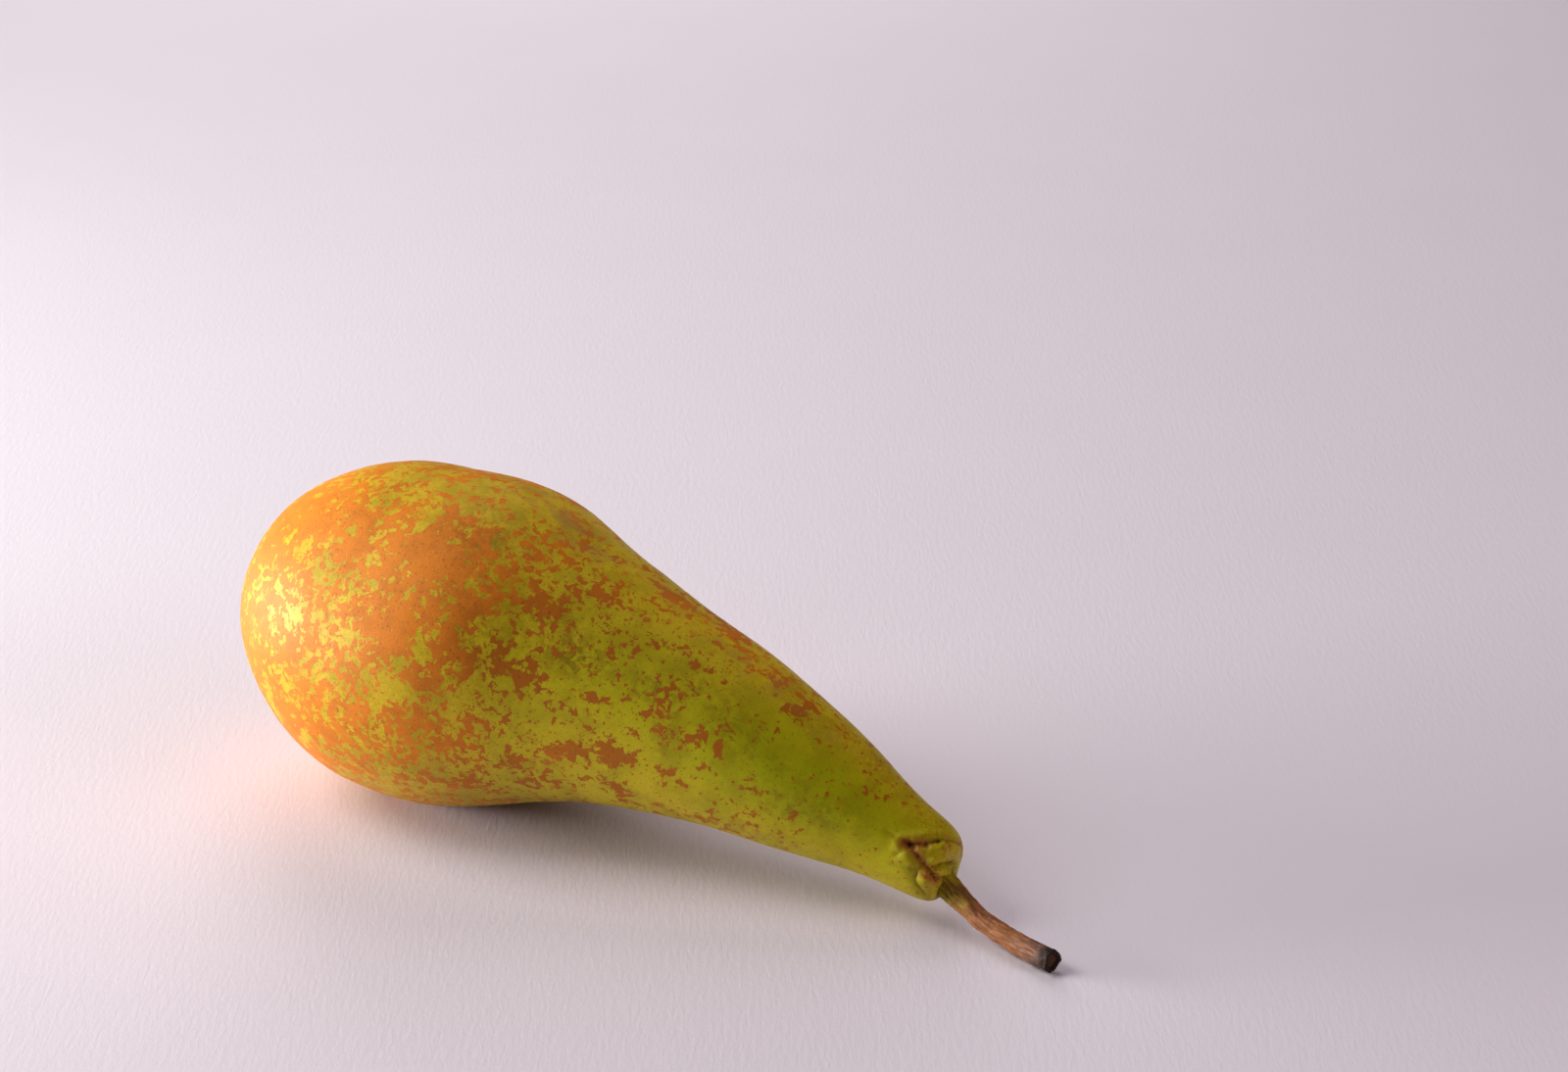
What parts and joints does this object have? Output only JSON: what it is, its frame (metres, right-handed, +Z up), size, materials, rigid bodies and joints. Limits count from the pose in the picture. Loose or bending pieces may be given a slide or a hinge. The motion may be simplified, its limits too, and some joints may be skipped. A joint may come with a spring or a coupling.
{
  "type": "pear",
  "caption": "Whole long-necked russeted pear lying on its side, with a curved woody stalk and curled dried sepals round the eye at its flower end.",
  "frame": {"origin": "middle of the bounding box's underside, on the surface that the pear lies on", "axes": "+X from the flower end to the stalk, along the pear as it lies; +Y across it; +Z up"},
  "size_m": [0.1586, 0.0598, 0.0586],
  "materials": {
    "pear_skin": "waxy satin skin, yellow-green ground with orange-brown russet patches and fine dots",
    "stalk_bark": "matt, finely ridged bark, dark and ragged at the free end",
    "dried_flower": "dry, matt, wrinkled",
    "withered_stamens": "dry, matt, fibrous"
  },
  "bodies": {
    "root": {"fruit": "pear_skin", "stem": "stalk_bark", "sepal_1": "dried_flower", "sepal_2": "dried_flower", "sepal_3": "dried_flower", "sepal_4": "dried_flower", "sepal_5": "dried_flower", "dried_stamens": "withered_stamens"}
  },
  "joints": []
}
